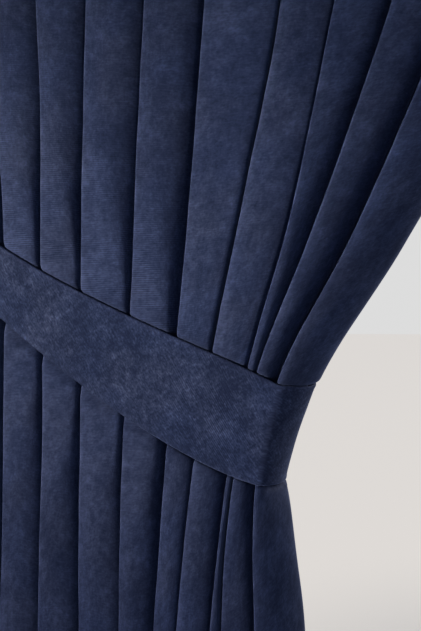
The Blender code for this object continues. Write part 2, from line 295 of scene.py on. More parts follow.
# where the swell starts and is complete, past a crisp edge, then past the soft one
PUFF_START = 0.001
PUFF_HEIGHT = 0.010
SOFT_START = -0.008
SOFT_HEIGHT = 0.016


def foot_start(x, back_share):
    """How far below the foot edge the cloth starts to swell. Below 0 it starts under it."""
    return PUFF_START + (SOFT_START - PUFF_START) * foot_softness(x, back_share)


def foot_height(x, back_share):
    """How far below the foot edge the swell is complete."""
    return PUFF_HEIGHT + (SOFT_HEIGHT - PUFF_HEIGHT) * foot_softness(x, back_share)


def swelling(x, z, back_share):
    """0 where the tieback presses the cloth, rounding out to 1 above and below it."""
    above = (z - tie_top(x, back_share) - PUFF_START) / (PUFF_HEIGHT - PUFF_START)
    start, soft = foot_start(x, back_share), foot_softness(x, back_share)
    below = (tie_foot(x, back_share) - z - start) / (foot_height(x, back_share) - start)
    tight = np.sqrt(1 - (1 - np.clip(np.maximum(above, below), 0.0, 1.0)) ** 2)
    return tight + (smooth_step(below) - tight) * soft * (below > 0)


def half_depth(x, z, back_share):
    """Half the depth of the folds: pressed in by the tieback, full away from it."""
    free = smooth_through(*zip(*HALF_DEPTH), -z)
    tied = HALF_DEPTH_TIED + EASE_UNDER_TIE
    return tied + (free - tied) * swelling(x, z, back_share)


print("half depth above the band:", round(float(half_depth(-0.2, -1.30, 0.0)), 4))

# %% [markdown]
# ## Rows of the cloth
#
# We think of the cloth as a grid of threads. Each row of the grid is level at the
# heading and at the hem, and follows the slanting tieback in between. So a row never
# cuts across the band's edge, and we can pack rows closely just where the cloth
# bends in under it. Where a row meets a fold line depends on the row's height there,
# and its height on that place, so we settle the two together in a few rounds. Under
# the band the leading edge is pressed in, and just below it the edge springs out
# sideways by a few millimetres before it settles.

# %% Heights of the rows, and where they cross each fold line
TIED_REACH = 0.22
SETTLING_STEPS = 8
SIDE_PRESS = 0.010
SPREAD_BELOW = 0.0064
SPREAD_DEPTH = 0.055


def row_height(zone, x, back_share):
    """Height of a row. The zones are: hanging, swelling, tied, swelling, hanging."""
    marks = (
        0.0 * x,
        tie_top(x, back_share) + PUFF_HEIGHT,
        tie_top(x, back_share) + PUFF_START,
        tie_foot(x, back_share) - foot_start(x, back_share),
        tie_foot(x, back_share) - foot_height(x, back_share),
        np.interp(x, HEM_X, HEM_Z),
    )
    k = min(int(zone), len(marks) - 2)
    return marks[k] + (marks[k + 1] - marks[k]) * (zone - k)


def corner_xs(zone):
    """Where a row crosses every fold line, and how near the tieback and how far below
    it that is."""
    xs, nears, lows = [], [], []
    for index, line in enumerate(FOLD_LINES):
        drift = 0.0 if index in (0, len(FOLD_LINES) - 1) else 1.0
        x = line[TIE_TOP_COLUMN]
        for _ in range(SETTLING_STEPS):
            z = float(row_height(zone, x, 0.0))
            x = fold_x(index, z, drift)
        xs.append(x)
        away = max(z - tie_top(x), tie_foot(x) - z, 0.0)
        nears.append(1 - smooth_step(away / TIED_REACH))
        lows.append(smooth_step((tie_top(x) - z) / (tie_top(x) - tie_foot(x))))
    xs[-1] -= SIDE_PRESS * (1 - float(swelling(x, z, 0.0)))
    depth = max(float(tie_foot(x)) - z - PUFF_HEIGHT, 0.0) / SPREAD_DEPTH
    xs[-1] += SPREAD_BELOW * depth * math.exp(1 - depth)
    return xs, nears, lows


print("fold lines half way down:", [round(x, 3) for x in corner_xs(0.5)[0]])

# %% [markdown]
# ## The section of one fold
#
# Cut the drape level and look down on it. Each fold has a sharp nose, then a broad
# face that turns back more and more, and then the cloth runs to the back, turns in a
# narrow channel and comes forward again behind the next nose. We set out those
# corners and round each of them with a short curve. Each rounded corner has its own
# number of points, so the sharp noses get many and the flat backs get few.
#
# The nose hooks over the cheek beside it. A cheek that has hardly fallen has no room
# behind the next nose, so it stops just before it and turns back more sharply. That
# way the cloth never passes through itself. The channel behind the last fold leans
# over very little, because the cloth's own leading edge has to come in beside it.

# %% Corners of one fold
# three corners of the face: share across, share of the fall, rounding, points
BROW = (0.00, 0.06, 0.34, 4)
SHOULDER = (0.60, 0.38, 0.50, 4)
CHEEK = (1.00, 1.00, 0.36, 4)
SHARPEST_CHEEK = 0.25
# two corners at the back: depth share, rounding, points
CHANNEL = (1.00, 0.30, 2)
HOOK = (-0.74, 0.30, 2)

LATEST_TURN = 0.86
NOSE_POINTS = 7
LEAN_SHARE = 0.26
HOOK_LEAN = 0.55
CHANNEL_SHARE = 0.22
SHEET_GAP = 0.0028
TYPICAL_HALF = 0.036


def fold_corners(x, pitches, near, low, shape, next_proud, lean_share=LEAN_SHARE):
    """The corners of one fold, from its nose to the channel behind the next nose."""
    proud, nose, turn, tied, fall, press, below, cheek = shape
    fall *= 1 + (press - 1) * near
    fall += (below - fall) * low
    pitch = pitches[0]
    lean = lean_share * min(pitches)
    behind = (fall - (proud - next_proud) / TYPICAL_HALF) / (1 + HOOK[0])
    tucked = min(max(behind, 0.0), 1.0)
    last = min(cheek * pitch, pitch + HOOK_LEAN * lean * tucked - SHEET_GAP)
    first = min((turn + (tied - turn) * near) * pitch, LATEST_TURN * last)
    corners = [(x, -1.0, nose, NOSE_POINTS, proud, 1.0)]
    cheek_corner = (*CHEEK[:2], CHEEK[2] * max(tucked, SHARPEST_CHEEK), CHEEK[3])
    for along, fallen, rounding, points in (BROW, SHOULDER, cheek_corner):
        across = first + (last - first) * along
        corners.append((x + across, fallen * fall - 1, rounding, points, proud, 0.0))
    channel = max(CHANNEL_SHARE * pitch, SHEET_GAP)
    after = x + pitch + lean
    corners.append((after - channel, *CHANNEL, 0.0, 0.0))
    corners.append((after, *CHANNEL, 0.0, 0.0))
    corners.append((x + pitch + HOOK_LEAN * lean, *HOOK, next_proud, 0.0))
    return corners


print("corners in a fold:", len(fold_corners(0, (0.06, 0.06), 0, 0, FOLD_SHAPES[3], 0)))

# %% [markdown]
# ## The two side edges
#
# At its outer side the cloth rolls round to the back in one soft bend. At the
# leading edge the last fold slants back almost at once and rolls round to the back,
# so this side of the drape looks like one smooth round column. The rounding is a
# quarter of a squashed circle, drawn with powers of sine and cosine.

# %% Roll both side edges to the back
# places as a share of the first fold's width, then depth share, rounding, points
OUTER_BACK_EDGE = 2.00
OUTER_ROLL = (-0.20, 0.96, 0.50, 8)
LEADING_FLAT = 0.10
LEADING_POWER = 1.50
LEADING_BACK_ROLL = 0.80
LEADING_BACK_EDGE = 0.16
ROLL_POINTS = 11
LAST_LEAN_SHARE = 0.05


def leading_roll(xs, count):
    """Points from the last fold's face round the leading edge to the back."""
    pitch = xs[-1] - xs[-2]
    start = xs[-2] + LEADING_FLAT * pitch
    back = LEADING_BACK_ROLL * pitch
    angles = np.linspace(0.0, math.pi / 2, count + 1)
    points = []
    for angle in angles:
        across = math.sin(angle) ** LEADING_POWER
        points.append((start + (xs[-1] - start) * across, -math.cos(angle) ** LEADING_POWER))
    for angle in angles[1:]:
        points.append((xs[-1] - back + back * math.cos(angle), math.sin(angle)))
    return points


def plain_corner(x, share):
    """A corner that is not rounded."""
    return (x, share, 0.0, 1, 0.0, 0.0)


def section_corners(xs, nears, lows):
    """The corners of one section, from the outer edge to the leading edge: x, depth
    share, rounding, points, how far forward, and 1 on a nose."""
    pitches = np.diff(xs)
    corners = [plain_corner(xs[0] + OUTER_BACK_EDGE * pitches[0], 1.0),
               (xs[0] + OUTER_ROLL[0] * pitches[0], *OUTER_ROLL[1:], 0.0, 0.0)]
    prouds = [shape[0] for shape in FOLD_SHAPES[1:]] + [LAST_NOSE[0]]
    for k, (shape, next_proud) in enumerate(zip(FOLD_SHAPES, prouds), start=1):
        lean_share = LEAN_SHARE if k < len(FOLD_SHAPES) else LAST_LEAN_SHARE
        corners += fold_corners(xs[k], pitches[k:k + 2], nears[k], lows[k], shape, next_proud,
                                lean_share)
    corners.append((xs[-2], -1.0, LAST_NOSE[1], NOSE_POINTS, LAST_NOSE[0], 1.0))
    corners += [plain_corner(*place) for place in leading_roll(xs, ROLL_POINTS)]
    corners.append(plain_corner(xs[-2] + LEADING_BACK_EDGE * pitches[-1], 1.0))
    return corners


print("corners in a section:", len(section_corners(*corner_xs(0.5))))

# %% [markdown]
# ## From corners to a row of cloth
#
# Each corner is rounded with a quadratic curve between its two sides. The same curve
# carries two more things along: how far the fold stands forward, and how close we
# are to a nose. The finish later lightens the nap there. That stands for pile brushed
# flat on the creases, and also paints in the bright highlight that side light puts on
# each nose. Two extra points at the start of the row mark where the side turning ends.

# %% Round the corners and hang one row
PROUD_REACH = 0.50
SIDE_TURN_SHARES = (0.72, 0.85)
MEETING = 0.999


def bend(start, corner, end, shares):
    """Points of a smooth bend from start to end, that leans towards the corner."""
    return [(1 - s) ** 2 * start + 2 * s * (1 - s) * corner + s ** 2 * end for s in shares]


def rounded_path(places, roundings, counts):
    """A path with its corners rounded off. An end, or a corner with no rounding, stays.
    Where two bends use up the whole side between them, they share one point."""
    points = []
    for k, place in enumerate(places):
        if roundings[k] == 0.0:
            points.append(place)
            continue
        start = place + (places[k - 1] - place) * roundings[k]
        end = place + (places[k + 1] - place) * roundings[k]
        shares = np.linspace(0.0, 1.0, counts[k])
        if roundings[k - 1] + roundings[k] > MEETING:
            shares = shares[1:]
        points += bend(start, place, end, shares)
    return np.array(points)


def drape_row(zone):
    """The points of one row of the hung cloth, its depth shares and its noses."""
    xs, shares, roundings, counts, prouds, noses = zip(*section_corners(*corner_xs(zone)))
    path = rounded_path(np.array([xs, shares, prouds, noses]).T, roundings, counts)
    turning = path[0] + (path[1] - path[0]) * np.array(SIDE_TURN_SHARES)[:, None]
    x, share, proud, nose = np.vstack([path[:1], turning, path[1:]]).T
    back_share = (1 + share) / 2
    z = row_height(zone, x, back_share)
    free = smooth_step(np.abs(z - tie_middle(x)) / PROUD_REACH)
    y = share * half_depth(x, z, back_share) - proud * free * (1 - back_share)
    return np.stack([x, y, z], axis=1), share, nose


print("points in a row:", len(drape_row(0.5)[0]))

# %% [markdown]
# ## Where to spend the rows
#
# Long straight lengths need few rows. The cloth just above and below the tieback is
# looked at most closely, so its rows are about seven millimetres apart, and the
# tight swell at each edge of the band gets eight rows of its own. Two close rows
# near the hem make the small step where the turned-up cloth ends.

# %% Hang every row
HEM = 0.08
HEADING_TURN = 0.05
STEP = 0.003
# rough lengths of the cloth that hangs above the tieback and below it
LONG_ABOVE = 1.35
LONG_BELOW = 0.90
ROW_RUNS = (
    # zone, from, to, rows
    (0, 0.06, 0.70, 37),  # hanging
    (0, 0.70, 1.00, 45),  # just above the tieback
    (1, 0.00, 1.00, 8),   # the swell above it
    (2, 0.00, 1.00, 5),   # under it
    (3, 0.00, 1.00, 8),   # the swell below it
    (4, 0.00, 0.26, 28),  # just below it
    (4, 0.26, 0.90, 21),  # down to the hem
)
HEM_ROWS = (4.94, 4.97, 5.0)


def row_zones():
    """Zone of every row, with close rows at the turns and by the tieback."""
    zones = [0.0, (HEADING_TURN - STEP) / LONG_ABOVE, HEADING_TURN / LONG_ABOVE, ROW_RUNS[0][1]]
    for zone, start, end, count in ROW_RUNS:
        zones += list(zone + np.linspace(start, end, count + 1)[1:])
    return zones + [5 - HEM / LONG_BELOW, 5 - (HEM - STEP) / LONG_BELOW, *HEM_ROWS]


rows = [drape_row(zone) for zone in row_zones()]
middle, depth_share, nose_share = map(np.array, zip(*rows))
print("rows and points:", middle.shape[:2])

# %% [markdown]
# ## Thread coordinates
#
# Nap and ribs follow the threads, not the room. So every point of the cloth gets two
# numbers: how far across the cut width it is, and how far down from the heading,
# both measured along the cloth itself. A sideways fold then carries its ribs with
# it. The same two numbers drive the small dents below and the fabric's texture.

# %% Measure the cloth along its threads


def thread_places(points):
    """Distance across and distance down the cloth, for every point of a grid."""
    across = np.linalg.norm(np.diff(points, axis=1), axis=2).mean(axis=0)
    across = np.concatenate([[0.0], np.cumsum(across)])
    down = np.cumsum(np.linalg.norm(np.diff(points, axis=0), axis=2), axis=0)
    down = np.vstack([np.zeros((1, points.shape[1])), down])
    return np.stack([np.broadcast_to(across, down.shape), down], axis=2)


threads = thread_places(middle)
print("laid flat the drape is", round(float(threads[..., 0].max()), 3), "m wide and",
      round(float(threads[..., 1].max()), 3), "m long")

# %% [markdown]
# ## Soft dents
#
# A broad fold of velvet is almost smooth, but never as smooth as a formula. Slow
# dents, longer down the cloth than across, break up the shading. We push each point
# along the cloth's own normal by a fraction of a millimetre. Under the tieback the
# dents fade out, because the band holds the cloth flat.

# %% Push soft dents into the cloth
DENTS = (
    # width, length, place in the noise, height
    (0.075, 0.20, 1.7, 0.0007),
    (0.024, 0.045, 5.2, 0.00025),
)


def cloth_normals(points):
    """Unit normals of a grid of points, towards the cloth's front."""
    normals = np.cross(np.gradient(points, axis=0), np.gradient(points, axis=1))
    return normals / np.linalg.norm(normals, axis=2, keepdims=True)


def soft_noise(across, along, layers):
    """The sum of a few layers of slow noise at one place on the cloth."""
    return sum(height * noise.noise(Vector((across / width, along / length, place)))
               for width, length, place, height in layers)


normals = cloth_normals(middle)
back_share = (1 + depth_share) / 2
loose = swelling(middle[..., 0], middle[..., 2], back_share)
dents = np.array([[soft_noise(u, v, DENTS) for u, v in row] for row in threads]) * loose
middle = middle + normals * dents[..., None]
print("dents up to", round(1000 * float(np.abs(dents).max()), 2), "mm")

# %% [markdown]
# ## Two faces and a rim
#
# A sheet of cloth has thickness. Its front and back are the same grid, moved half
# the thickness each way, with a narrow rim all round. We could leave this to a
# Solidify modifier. Here we move the points ourselves, because the hem, the side
# turnings and the heading are doubled: there the back moves a little further. On the
# inside of a sharp bend there is no room for the full thickness. So we measure how
# fast the cloth turns, and let a point move only as far as its bend allows.

# %% Thicken the cloth, more where it is turned
SIDE_HEM = 0.02
TURNED_EXTRA = 0.0009
INSIDE_SHARE = 0.7
ROOM_SLOPE = 0.25
LEAST_BEND = 1e-6  # stops a division by zero where the cloth is straight


def turned_share(places):
    """1 where the cloth is turned over and sewn down, 0 where it is single."""
    across, down = places[..., 0], places[..., 1]
    from_side = np.minimum(across, across.max() - across)
    side = 1 - smooth_step((from_side - SIDE_HEM + STEP) / STEP)
    heading = 1 - smooth_step((down - HEADING_TURN + STEP) / STEP)
    foot = 1 - smooth_step((down[-1:] - down - HEM + STEP) / STEP)
    return np.maximum(np.maximum(side, heading), foot)


def inside_room(points, normals, side):
    """How far each point may move to one side before a bend there crosses itself. side is
    1 for the front and -1 for the back."""
    steps = np.diff(points, axis=1)
    lengths = np.linalg.norm(steps, axis=2)
    steps /= lengths[..., None]
    change = steps[:, 1:] - steps[:, :-1]
    turn = np.zeros(points.shape[:2])
    turn[:, 1:-1] = np.maximum(side * (change * normals[:, 1:-1]).sum(axis=2), 0.0) / 2
    edge_room = INSIDE_SHARE * lengths / (turn[:, 1:] + turn[:, :-1] + LEAST_BEND)
    room = np.minimum(np.pad(edge_room, ((0, 0), (1, 0)), "edge"),
                      np.pad(edge_room, ((0, 0), (0, 1)), "edge"))
    for k in range(1, room.shape[1]):
        room[:, k] = np.minimum(room[:, k], room[:, k - 1] + ROOM_SLOPE * lengths[:, k - 1])
    for k in range(room.shape[1] - 2, -1, -1):
        room[:, k] = np.minimum(room[:, k], room[:, k + 1] + ROOM_SLOPE * lengths[:, k])
    return room


normals = cloth_normals(middle)
turned = turned_share(threads)
front_move = np.minimum(CLOTH / 2, inside_room(middle, normals, 1))
back_move = np.minimum(CLOTH / 2 + TURNED_EXTRA * turned, inside_room(middle, normals, -1))
drape_front = middle + normals * front_move[..., None]
drape_back = middle - normals * back_move[..., None]
print("thinnest cloth", round(1000 * float((front_move + back_move).min()), 2), "mm")
print("turned cloth on", round(100 * float((turned > 0.5).mean())), "% of the points")

# %% [markdown]
# ## Joining the grids into a closed piece
#
# Two helpers turn a grid into faces. They work on any grid, so we run them on the
# point numbers and again on the texture places. The rim is just one more grid, two
# points wide, that runs round the border.

# %% Faces of the front, the back and the rim


def quads(grid):
    """The corners of every four-sided face of a grid."""
    corners = np.stack([grid[:-1, :-1], grid[1:, :-1], grid[1:, 1:], grid[:-1, 1:]], axis=2)
    return corners.reshape(-1, *corners.shape[2:])


def sheet_faces(front, back, rim):
    """The faces of a closed sheet. The back and the rim are turned over, to face out."""
    return np.concatenate([quads(front), quads(back)[:, ::-1], quads(rim)[:, ::-1]])


def border(grid):
    """The values round the edge of a grid, back to where they start."""
    ring = [grid[0, :-1], grid[:-1, -1], grid[-1, :0:-1], grid[:0:-1, 0], grid[:1, 0]]
    return np.concatenate(ring)


print("points round a grid of 3 by 4:", len(border(np.zeros((3, 4)))) - 1)

# %% [markdown]
# ## Texture maps and marks
#
# The finished object carries two texture maps. The first holds the thread places in
# metres, for the velvet. The second spreads the whole surface over one square with
# nothing on top of anything else, so that the finish can be painted into an image
# later: an upright strip each for the front, the back and the rim. Marks are named
# values on the points, which the finish can read.

# %% Build a closed sheet from a front grid and a back grid
FRONT_STRIP = (0.005, 0.60)
BACK_STRIP = (0.61, 0.98)
RIM_STRIP = (0.985, 0.995)
STRIP_FOOT = 0.005
STRIP_TOP = 0.995


def bake_places(places, strip):
    """Texture places squeezed into one upright strip of a square image."""
    low = places.reshape(-1, 2).min(axis=0)
    share = (places - low) / (places.reshape(-1, 2).max(axis=0) - low)
    across = strip[0] + (strip[1] - strip[0]) * share[..., 0]
    return np.stack([across, STRIP_TOP - (STRIP_TOP - STRIP_FOOT) * share[..., 1]], axis=2)


def rim_places(count):
    """Texture places of the rim, in the last thin strip."""
    up = np.linspace(STRIP_FOOT, STRIP_TOP, count)
    return np.stack([np.stack([np.full(count, x), up], axis=1) for x in RIM_STRIP])


def put_in_scene(name, data):
    """A new object in the scene, from a mesh, a lamp or a camera."""
    thing = bpy.data.objects.new(name, data)
    bpy.context.scene.collection.objects.link(thing)
    return thing


def closed_sheet(name, front, back, places, marks):
    """A closed mesh object with its texture maps and its marks, one value for each point
    of the grid."""
    numbers = np.arange(front[..., 0].size).reshape(front.shape[:2])
    ring, edge = border(numbers), border(places)
    faces = sheet_faces(numbers, numbers + numbers.size, np.stack([ring, ring + numbers.size]))
    maps = {"cloth": (places, places, np.stack([edge, edge])),
            "OFBake": (bake_places(places, FRONT_STRIP), bake_places(places, BACK_STRIP),
                       rim_places(len(ring)))}
    mesh = bpy.data.meshes.new(name)
    points = np.concatenate([front.reshape(-1, 3), back.reshape(-1, 3)])
    mesh.from_pydata(points.tolist(), [], faces.tolist())
    for map_name, grids in maps.items():
        layer = mesh.uv_layers.new(name=map_name)
        layer.data.foreach_set("uv", sheet_faces(*grids).astype(np.float32).ravel())
    for mark, values in marks.items():
        layer = mesh.attributes.new(mark, "FLOAT", "POINT")
        layer.data.foreach_set("value", np.concatenate([values.ravel()] * 2).astype(np.float32))
    mesh.shade_smooth()
    print(name, "has", 2 * len(mesh.polygons), "triangles")
    return put_in_scene(name, mesh)


print("front, back and rim strips:", FRONT_STRIP, BACK_STRIP, RIM_STRIP)

# %% [markdown]
# ## Where the cloth is pulled tight
#
# The weave under the pile shows as fine ribs only where the cloth is stretched, and
# that is just above the tieback, mostly at the outer side that bears the pull. We
# give every point a mark for that, from slack to taut. A second mark says how close
# a point is to a nose. There the finish lightens the pile, partly for pile brushed
# flat and partly as a painted highlight along each nose. The finish reads both marks.

# %% Mark the taut cloth and build the drape
TAUT_REACH = 0.34
TAUT_FADE = 0.02
TAUT_LEFT_OF = -0.11
TAUT_SIDE_FADE = 0.06
TAUT_AT_RIGHT = 0.25
SLACK = 0.06

over_tie = middle[..., 2] - tie_top(middle[..., 0])
taut = smooth_step(1 - over_tie / TAUT_REACH) * smooth_step(1 + over_tie / TAUT_FADE)
at_left = smooth_step((TAUT_LEFT_OF - middle[..., 0]) / TAUT_SIDE_FADE)
taut = taut * (TAUT_AT_RIGHT + (1 - TAUT_AT_RIGHT) * at_left)
taut = np.maximum(taut, SLACK)
# the nose mark lightens the pile in the finish: brushed pile and a painted highlight along each
# nose
drape = closed_sheet("velvet_drape", drape_front, drape_back, threads,
                     {"rubbed_and_highlit": nose_share, "taut": taut})

# %% [markdown]
# ## The tieback's path
#
# The tieback is one long strip. It starts behind the outer side, comes round to the
# front, slopes down to the leading edge, goes round the back and laps over its own
# start. First we draw that path level, close round the drape's section. The section
# changes with height, so we draw it at several heights and read between them. The
# first end lies flat behind, two bends bring it round the outer side to the front,
# and the last short stretch runs back over the first end.

# %% The loop round the drape
TIE_LAP = 0.05
TIE_LAP_GAP = 0.0020
TIE_LAP_STEP = 0.02
# the size of the bend round the outer side, and how far out of the cloth it stands
TIE_OUTER_BEND = 0.042
TIE_OUTER_EASE = 0.35
FIRST_END_POINTS = 8
FIRST_END_SHARE = 0.9
BEND_POINTS = 16
FRONT_POINTS = 72
BACK_POINTS = 30
LAP_POINTS = 14
LEVELS = np.linspace(-1.64, -1.16, 49)


def straight(start, end, y, shares):
    """Points of a level straight stretch across, all at the same y."""
    return [np.array((start + s * (end - start), y)) for s in shares]


def loop_points(z):
    """The line round the drape's section at height z, that the tieback lies on."""
    xs = [fold_x(index, z) for index in range(len(FOLD_LINES))]
    xs[-1] -= SIDE_PRESS
    depth = HALF_DEPTH_TIED
    left = xs[0] - TIE_OUTER_EASE * (xs[1] - xs[0])
    inward = left + TIE_OUTER_BEND
    lap = inward + TIE_LAP
    turns = [np.array(turn) for turn in ((inward, depth), (left, depth), (left, 0.0),
                                         (left, -depth), (inward, -depth))]
    shares = np.linspace(0.0, 1.0, BEND_POINTS)
    roll = leading_roll(xs, BEND_POINTS)
    points = straight(lap, inward, depth, np.linspace(0.0, FIRST_END_SHARE, FIRST_END_POINTS))
    points += bend(*turns[:3], shares) + bend(*turns[2:], shares)[1:]
    points += straight(inward, roll[0][0], -depth, np.linspace(0.0, 1.0, FRONT_POINTS + 1)[1:-1])
    points += [np.array((x, share * depth)) for x, share in roll]
    for end, count in ((lap + TIE_LAP, BACK_POINTS), (inward, LAP_POINTS)):
        points += straight(points[-1][0], end, depth, np.linspace(0.0, 1.0, count + 1)[1:])
    return np.array(points)


LOOPS = np.array([loop_points(level) for level in LEVELS])
print("points along the tieback:", LOOPS.shape[1])

# %% [markdown]
# ## Rows of the strip
#
# Each row of the strip keeps its own place between the top edge and the foot edge.
# Its height depends on where it is along the path, and the path depends on its
# height, so we settle the two together in a few rounds. The rows crowd towards both
# edges, where the band is rounded over.

# %% Rows from edge to edge of the band
EDGE_INSETS = (0.0, 0.0002, 0.0007, 0.0014, 0.0024, 0.0036, 0.0050, 0.0075, 0.0100)
INNER_ROWS = 19


def loop_at(z):
    """The loop's points, each read at its own height."""
    place = (z - LEVELS[0]) / (LEVELS[1] - LEVELS[0])
    low = np.clip(place.astype(int), 0, len(LEVELS) - 2)
    share = (place - low)[:, None]
    k = np.arange(len(z))
    return LOOPS[low, k] * (1 - share) + LOOPS[low + 1, k] * share


def band_row(share, inset):
    """One row of the band: its points and the outward direction at each of them."""
    z = np.full(LOOPS.shape[1], TIE_LOWEST)
    for _ in range(SETTLING_STEPS):
        xy = loop_at(z)
        behind = (1 + np.clip(xy[:, 1] / HALF_DEPTH_TIED, -1, 1)) / 2
        z = tie_middle(xy[:, 0], behind) + share * (tie_half(xy[:, 0]) - inset)
    along = np.gradient(xy, axis=0)
    along /= np.linalg.norm(along, axis=1, keepdims=True)
    outward = np.stack([along[:, 1], -along[:, 0], 0 * z], axis=1)
    return np.column_stack([xy, z]), outward


edge_rows = [(1.0, inset) for inset in EDGE_INSETS]
inner_shares = np.linspace(1.0, -1.0, INNER_ROWS + 2)[1:-1]
band_rows = edge_rows + [(share, EDGE_INSETS[-1]) for share in inner_shares]
band_rows += [(-share, inset) for share, inset in reversed(edge_rows)]
band_line, band_out = map(np.array, zip(*[band_row(*row) for row in band_rows]))
print("rows across the band:", len(band_rows))

# %% [markdown]
# ## Crisp and soft edges
#
# Two things decide the shape of the band at a point: how far in from the nearer edge
# the point is, and how soft that edge is. Only the outer part of the front foot edge
# is soft.

# %% Places on the band
band_places = thread_places(band_line)
inset = np.minimum(band_places[..., 1], band_places[-1:, :, 1] - band_places[..., 1])
in_front = band_line[..., 1] < 0
by_foot = np.linspace(0.0, 1.0, len(band_rows))[:, None] > 0.5
soft = foot_softness(band_line[..., 0]) * in_front * by_foot
print("the band is", round(float(band_places[..., 0].max()), 3), "m long and has a soft edge on",
      round(100 * float((soft[-1] > 0.5).mean())), "% of its foot")

# %% [markdown]
# ## A stiffened, softly padded band
#
# A shaped tieback is two layers of velvet over a stiff lining, turned out through one
# end. So its edges are rounded, a narrow ridge runs along each edge where the seam
# turns, and the middle is slightly padded. The lining hides the folds behind it, and
# only faint waves show through. At the outer part of the foot edge the band thins
# out softly like a wedge, without a ridge, where it sinks between the folds. The last
# stretch is lifted, so that it laps over the first end.

# %% Thickness, edge ridge and faint waves
EDGE_RADIUS = 0.0022
SOFT_EDGE_RADIUS = 0.0140
SOFT_EDGE_SINK = 0.0005
SOFT_EDGE_REACH = 0.020
SOFT_EDGE_LEAST = 0.12
PADDING = 0.0010
PADDING_REACH = 0.035
RIDGE = 0.00035
RIDGE_INSET = 0.0022
RIDGE_WIDTH = 0.0013
WAVE_REACH = 0.02
WAVES = (
    # length, height, place in the noise, depth
    (0.060, 0.10, 3.1, 0.0004),
    (0.022, 0.05, 8.4, 0.00018),
)


def lap_lift(line):
    """How far the last stretch of the band rides up over its own start."""
    past = np.arange(line.shape[1]) - (line.shape[1] - 1 - LAP_POINTS)
    ramp = LAP_POINTS * (TIE_LAP - TIE_LAP_STEP) / (2 * TIE_LAP)
    return smooth_step(past / ramp) * (TIE_CLOTH + TIE_LAP_GAP)


radius = EDGE_RADIUS + (SOFT_EDGE_RADIUS - EDGE_RADIUS) * soft
round_over = 1 - np.clip(inset / radius, 0.0, 1.0)
rounded = np.sqrt(1 - round_over ** 2)
wedge = smooth_step(1 - round_over / 2) * (1 - round_over)
wedge = SOFT_EDGE_LEAST + (1 - SOFT_EDGE_LEAST) * wedge
half_thick = (rounded + (wedge - rounded) * soft) * TIE_CLOTH / 2
ridge = RIDGE * (1 - soft) * np.exp(-((inset - RIDGE_INSET) / RIDGE_WIDTH) ** 2)
padding = PADDING * smooth_step(inset / PADDING_REACH) + ridge
spots = np.dstack([band_places[..., 0], band_line[..., 2]])
waves = np.array([[soft_noise(along, z, WAVES) for along, z in row] for row in spots])
waves *= smooth_step(inset / WAVE_REACH)
lift = CLOTH / 2 + CLEARANCE + TIE_CLOTH / 2 + lap_lift(band_line)
lift = lift - SOFT_EDGE_SINK * soft * (1 - smooth_step(inset / SOFT_EDGE_REACH))
band_front = band_line + band_out * (lift + half_thick + padding + waves)[..., None]
band_back = band_line + band_out * (lift - half_thick)[..., None]
print("band", round(1000 * float((2 * half_thick + padding).max()), 1), "mm thick")

# %% [markdown]
# ## The band as a closed sheet
#
# The band is built by the same helper as the drape. Its lightened places are its
# crisp edges, where hands brush the nap flat and where the rounded edge catches the
# light, so the lighter pile there is partly wear and partly a painted highlight.
# Its tautest place, where its ribs show most, is the middle of its front.

# %% Build the tieback
RUBBED_HIGHLIGHT_INSET = 0.0022
BAND_TAUT = 0.5
BAND_TAUT_REACH = 0.05

# lighter pile along the crisp edges, none on the soft foot edge: brushed nap and a painted
# highlight
band_rubbed_and_highlit = np.exp(-(inset / RUBBED_HIGHLIGHT_INSET) ** 2) * (1 - soft)
from_middle = (band_line[..., 0] - TIE_WIDEST_X) / BAND_TAUT_REACH
band_taut = SLACK + BAND_TAUT * np.exp(-from_middle ** 2)
tieback = closed_sheet("velvet_tieback", band_front, band_back, band_places,
                       {"rubbed_and_highlit": band_rubbed_and_highlit, "taut": band_taut})

# %% [markdown]
# ## Velvet as a material
#
# Velvet is dark where we look into the pile and light where we see its side. The
# shader's sheen does that. On top of it the nap is never even: hands and folding
# leave cloudy patches one or two centimetres wide, fine ribs run along the weft, and
# the pile is made lighter on each crease and edge. That lighter pile is partly wear
# and partly a painted highlight, where side light catches the noses. All of this is
# drawn with procedural noise on the thread coordinates, so it follows the folds. A
# picture of velvet could do it too, but it would repeat, and it would show one fixed
# light.
#
# The finish is a small net of nodes. A few helpers keep the net readable: they set or
# link a node's inputs, add a node, read a mark, stretch a value's range, and do a sum.

# %% Helpers for nodes


def set_inputs(node, values):
    """Set a node's inputs, by name or by place. An output of another node is linked."""
    for name, value in values.items():
        if isinstance(value, bpy.types.NodeSocket):
            node.id_data.links.new(value, node.inputs[name])
        else:
            node.inputs[name].default_value = value


def add_node(tree, kind, inputs=None, **settings):
    """A new node with its settings, and with some of its inputs set or linked."""
    node = tree.nodes.new(kind)
    for name, value in settings.items():
        setattr(node, name, value)
    set_inputs(node, inputs or {})
    return node


def read_mark(tree, name):
    """The value of a mark on the cloth."""
    return add_node(tree, "ShaderNodeAttribute", attribute_name=name).outputs["Fac"]


def stretch(tree, source, low, high, to_low, to_high):
    """Stretch part of a value's range to a new range, with soft ends."""
    inputs = {"Value": source, "From Min": low, "From Max": high, "To Min": to_low,
              "To Max": to_high}
    node = add_node(tree, "ShaderNodeMapRange", inputs, interpolation_type="SMOOTHSTEP")
    return node.outputs["Result"]


def combine(tree, operation, *sides):
    """One Math node. Each of its inputs is another node's output or a number."""
    node = add_node(tree, "ShaderNodeMath", dict(enumerate(sides)), operation=operation)
    return node.outputs["Value"]


print("node helpers ready")

# %% [markdown]
# ## Nap, ribs and pile
#
# Three kinds of layer share one vector. Broad and small noise make the clouds, and
# finer noise makes the grain of the pile. A wave texture, bent by its own
# distortion, makes the weft ribs. A slow noise lets the ribs come and go, and the
# taut mark keeps them where the cloth is stretched.
#
# The layers are added up, and the sum is raised to a power. Most of the cloth then
# stays deep and dark, and only the flattest pile stands out as small light flecks.

